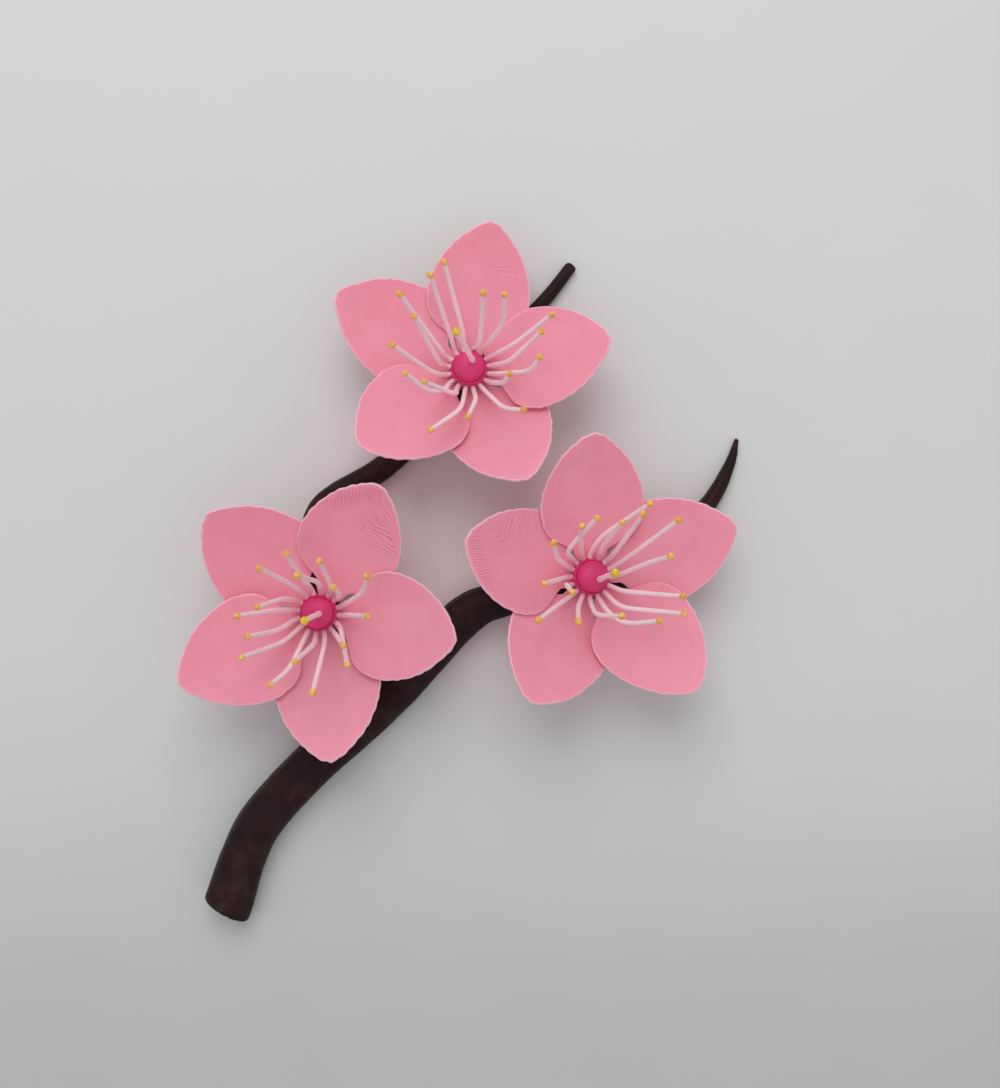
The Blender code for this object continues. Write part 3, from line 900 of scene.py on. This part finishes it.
class SPRIG_OT_buttons(Operator):
    """Make every blossom's domed button with its toothed collar"""
    bl_idname = "sprig.buttons"
    bl_label = "Make buttons"

    def execute(self, context):
        settings = context.scene.sprig_centres
        material = button_material(settings)
        dome = settings.dome_radius / MM
        top = settings.dome_top / MM
        collar = settings.collar_radius / MM
        notch = settings.notch / MM
        step = DOME_FOOT
        profile = []
        shares = []
        for i in range(19):
            angle = math.radians(90 - 5 * i)
            bulge = math.sin(angle) ** 0.75 if i < 18 else 0.0
            profile.append((dome * math.cos(angle), step + (top - step) * bulge))
            shares.append(0.0)
        profile[0] = (0.0, top)
        for radius, height in (
                (dome + 0.01, step - 0.1), (dome + 0.05, step - 0.14), (dome + 0.10, step - 0.09),
                (dome + 0.2, step - 0.05), (collar - 0.18, step - 0.08), (collar - 0.05, step - 0.2),
                (collar, step - 0.4), (collar, 0.95), (collar - 0.06, 0.7), (collar - 0.3, 0.55),
                (0.0, 0.55)):
            profile.append((radius, height))
            shares.append(1.0)
        for blossom in BLOSSOM_NAMES:
            first_root = math.radians(STAMENS[blossom][0])

            def toothed(radius, height, angle):
                if radius <= dome + 0.1:
                    return radius
                tooth = 0.5 - 0.5 * math.cos(STAMEN_COUNT * (angle - first_root))
                uneven = 0.05 * noise.noise(Vector((math.cos(angle) * 3, math.sin(angle) * 3, height)))
                share = (radius - dome - 0.1) / (collar - dome - 0.1)
                return radius - share * notch * (1.0 - tooth ** 1.4) + share * uneven

            bm = bmesh.new()
            shade = bm.verts.layers.float.new("collar")
            turned(bm, profile, 160, toothed, shade, shares)
            node = blossom + "_button"
            add_made(f"{node}_dome", bm, 50, material, node, centre_frame(blossom))
        return {"FINISHED"}


class SPRIG_OT_pistils(Operator):
    """Make the pistil that stands on every button, with its yellow tip"""
    bl_idname = "sprig.pistils"
    bl_label = "Make pistils"

    def execute(self, context):
        stamens = context.scene.sprig_stamens
        settings = context.scene.sprig_centres
        stalk = filament_material(stamens)
        stalk.name = "pistil_plastic"
        yellow = anther_material("pistil_tip_plastic", tuple(settings.tip_color), 0.1)
        radius = stamens.radius / MM
        for number, blossom in enumerate(BLOSSOM_NAMES):
            bearing, reach, tip_bearing, tip_reach = PISTILS[blossom]
            dome = settings.dome_radius / MM
            sink = 1.0 - math.sqrt(1.0 - (reach / dome) ** 2)
            foot_height = settings.dome_top / MM - 0.05 - 1.55 * sink
            foot = polar(bearing, reach, foot_height)
            tip = polar(tip_bearing, tip_reach, PISTIL_TOP)
            line = spaced([foot, foot.lerp(tip, 0.5) + Vector((0.1, 0.0, 0.0)), tip], 26)
            radii = [radius * 1.05] * len(line)
            for j in range(6):
                radii[j] = radius * (1.05 + 0.32 * math.sin(math.pi * min(1.0, j / 5 + 0.25)) ** 2)
            bm = bmesh.new()
            along = bm.verts.layers.float.new("along")
            sweep(bm, line, radii, 14, along)
            place = centre_frame(blossom)
            node = blossom + "_pistil"
            add_made(f"{node}_stalk", bm, 60, stalk, node, place)
            bm = bmesh.new()
            tip_place = toward((tip - foot).normalized(), tip)
            add_grain(bm, tip_place, PISTIL_TIP_RADIUS, 11.0 * number + 5.0, 1.05, 0.3)
            add_made(f"{node}_tip", bm, 15, yellow, node, place)
        return {"FINISHED"}


# ---- branch ----
def section(station, side):
    """Points round a limb's section: an oval that is cut flat at z = 0."""
    x, y, width, height = station
    waist = SECTION_WAIST * height
    first = -math.asin(SECTION_FLAT)
    turn = math.pi - 2 * first
    points = []
    for i in range(SECTION_SIDES):
        angle = first + turn * i / (SECTION_SIDES - 1)
        across = width / 2 * math.cos(angle)
        if math.sin(angle) < 0:
            rise = waist + waist / SECTION_FLAT * math.sin(angle)
        else:
            rise = waist + (height - waist) * math.sin(angle)
        points.append(Vector((x + side.x * across, y + side.y * across, max(rise, 0.0))))
    return points


def add_limb(bm, stations, skew=0.0):
    rows = smooth_line(stations, STATION_STEPS)
    rings = []
    for i, row in enumerate(rows):
        ahead = rows[min(i + 1, len(rows) - 1)]
        behind = rows[max(i - 1, 0)]
        along = Vector((ahead[0] - behind[0], ahead[1] - behind[1])).normalized()
        side = Vector((along.y, -along.x))
        if i == 0:
            side.rotate(Matrix.Rotation(-skew, 2))
        rings.append([bm.verts.new(point) for point in section(row, side)])
    for first, second in zip(rings, rings[1:]):
        bridge_rings(bm, first, second)
    bm.faces.new(rings[0])
    bm.faces.new(rings[-1])


def add_spur(bm, blossom):
    """The stub under a blossom, from inside the limb up to just below the flower base."""
    place = blossom_frame(blossom)
    origin = place.translation / MM
    axis = place.to_3x3() @ UP
    top = origin + axis * SPUR_TOP
    length = (top.z - SPUR_FOOT_HEIGHT) / axis.z
    foot = top - axis * length
    line = [foot.lerp(top, step / 10) for step in range(11)]
    radii = [SPUR_RADIUS + SPUR_FLARE * (1 - step / 10) ** 2 for step in range(11)]
    sweep(bm, line, radii, 28)


class SPRIG_OT_branch(Operator):
    """Make the forked branch with its three spurs as one blended body"""
    bl_idname = "sprig.branch"
    bl_label = "Make branch"

    def execute(self, context):
        settings = context.scene.sprig_branch
        bm = bmesh.new()
        add_limb(bm, MAIN_LIMB, CUT_SKEW)
        add_limb(bm, SIDE_LIMB)
        for blossom in BLOSSOM_NAMES:
            add_spur(bm, blossom)
        rough = finish_mesh(bm, "branch_rough")
        helper = bpy.data.objects.new("branch_rough", rough)
        context.scene.collection.objects.link(helper)
        blend = helper.modifiers.new("blend", "REMESH")
        blend.mode = "VOXEL"
        blend.voxel_size = settings.voxel
        soften = helper.modifiers.new("soften", "SMOOTH")
        soften.factor = 0.5
        soften.iterations = settings.smooth_rounds
        context.view_layer.update()
        evaluated = helper.evaluated_get(context.evaluated_depsgraph_get())
        mesh = bpy.data.meshes.new_from_object(evaluated)
        bpy.data.objects.remove(helper)
        bpy.data.meshes.remove(rough)
        mesh.name = "branch_body"
        flank_sheen = mesh.attributes.new("flank_sheen", "FLOAT", "POINT")
        normals = [tuple(item.vector) for item in mesh.vertex_normals]
        for vert, normal in zip(mesh.vertices, normals):
            place = vert.co / MM
            lump = 0.06 * noise.noise(place / 3.1)
            lump += 0.03 * noise.noise(place / 1.1 + Vector((5, 0, 0)))
            if vert.co.z > 0.4 * MM:
                vert.co += Vector(normal) * lump * MM
            vert.co.z = max(vert.co.z, 0.0)
            # a painted sheen: a narrow lighter band along the upper-left flank
            flank = max(0.0, Vector(normal).dot(SHEEN_SIDE))
            ridge = max(0.0, 1.0 - abs(normal[2] - 0.42) / 0.22)
            flank_sheen.data[vert.index].value = min(1.0, flank * ridge * 1.8)
        mesh.shade_smooth()
        mesh.set_sharp_from_angle(angle=math.radians(60))
        add_piece("branch_body", mesh, branch_material(settings), "branch")
        return {"FINISHED"}


# ---- stage ----
class SPRIG_OT_stage(Operator):
    """Make the floor, the lights and the camera"""
    bl_idname = "sprig.stage"
    bl_label = "Make stage"

    def execute(self, context):
        settings = context.scene.sprig_stage
        scene = context.scene
        bm = bmesh.new()
        bmesh.ops.create_grid(bm, x_segments=8, y_segments=8, size=FLOOR_HALF_WIDTH)
        floor = bpy.data.objects.new("floor", finish_mesh(bm, "floor"))
        floor.data.materials.append(floor_material(settings))
        scene.collection.objects.link(floor)

        light = bpy.data.lights.new("key_light", "AREA")
        light.shape = "DISK"
        light.size = KEY_LIGHT_WIDTH * MM
        light.energy = settings.key_power
        light.color = (1.0, 0.99, 0.97)
        lamp = bpy.data.objects.new("key_light", light)
        lamp.location = Vector(KEY_LIGHT_PLACE) * MM
        lamp.rotation_euler = (-lamp.location).to_track_quat("-Z", "Y").to_euler()
        scene.collection.objects.link(lamp)

        world = bpy.data.worlds.new("studio")
        world.use_nodes = True
        sky = world.node_tree.nodes["Background"]
        sky.inputs["Color"].default_value = (0.96, 0.98, 1.0, 1.0)
        sky.inputs["Strength"].default_value = settings.sky
        scene.world = world

        data = bpy.data.cameras.new("camera")
        data.lens = settings.lens
        data.clip_start = 0.01
        camera = bpy.data.objects.new("camera", data)
        camera.location = (*(Vector(CAMERA_PLACE) * MM), settings.camera_height)
        scene.collection.objects.link(camera)
        scene.camera = camera
        scene.view_settings.view_transform = "Standard"
        return {"FINISHED"}


# ---- add-on ----
class SPRIG_PT_sidebar(Panel):
    """Lists the sprig's settings and the steps that make it"""
    bl_idname = "SPRIG_PT_sidebar"
    bl_label = "Cherry Blossom Sprig"
    bl_space_type = "VIEW_3D"
    bl_region_type = "UI"
    bl_category = "Sprig"

    def draw(self, context):
        scene = context.scene
        for group, steps in (
                (scene.sprig_branch, ("sprig.branch",)),
                (scene.sprig_petals, ("sprig.petals",)),
                (scene.sprig_centres, ("sprig.flower_bases", "sprig.buttons", "sprig.pistils")),
                (scene.sprig_stamens, ("sprig.filaments", "sprig.anthers")),
                (scene.sprig_stage, ("sprig.stage",))):
            box = self.layout.box()
            for key in group.bl_rna.properties.keys():
                if key not in ("rna_type", "name"):
                    box.prop(group, key)
            for step in steps:
                box.operator(step)


SETTINGS = {
    "sprig_petals": SprigPetalSettings,
    "sprig_stamens": SprigStamenSettings,
    "sprig_centres": SprigCentreSettings,
    "sprig_branch": SprigBranchSettings,
    "sprig_stage": SprigStageSettings,
}
CLASSES = (
    *SETTINGS.values(),
    SPRIG_OT_branch, SPRIG_OT_flower_bases, SPRIG_OT_petals, SPRIG_OT_filaments,
    SPRIG_OT_anthers, SPRIG_OT_buttons, SPRIG_OT_pistils, SPRIG_OT_stage, SPRIG_PT_sidebar,
)


def register():
    for item in CLASSES:
        bpy.utils.register_class(item)
    for name, item in SETTINGS.items():
        setattr(bpy.types.Scene, name, PointerProperty(type=item))


def unregister():
    for name in SETTINGS:
        delattr(bpy.types.Scene, name)
    for item in reversed(CLASSES):
        bpy.utils.unregister_class(item)


def main():
    register()
    bpy.ops.sprig.branch()
    bpy.ops.sprig.flower_bases()
    bpy.ops.sprig.petals()
    bpy.ops.sprig.filaments()
    bpy.ops.sprig.anthers()
    bpy.ops.sprig.buttons()
    bpy.ops.sprig.pistils()
    bpy.ops.sprig.stage()


if __name__ == "__main__":
    main()
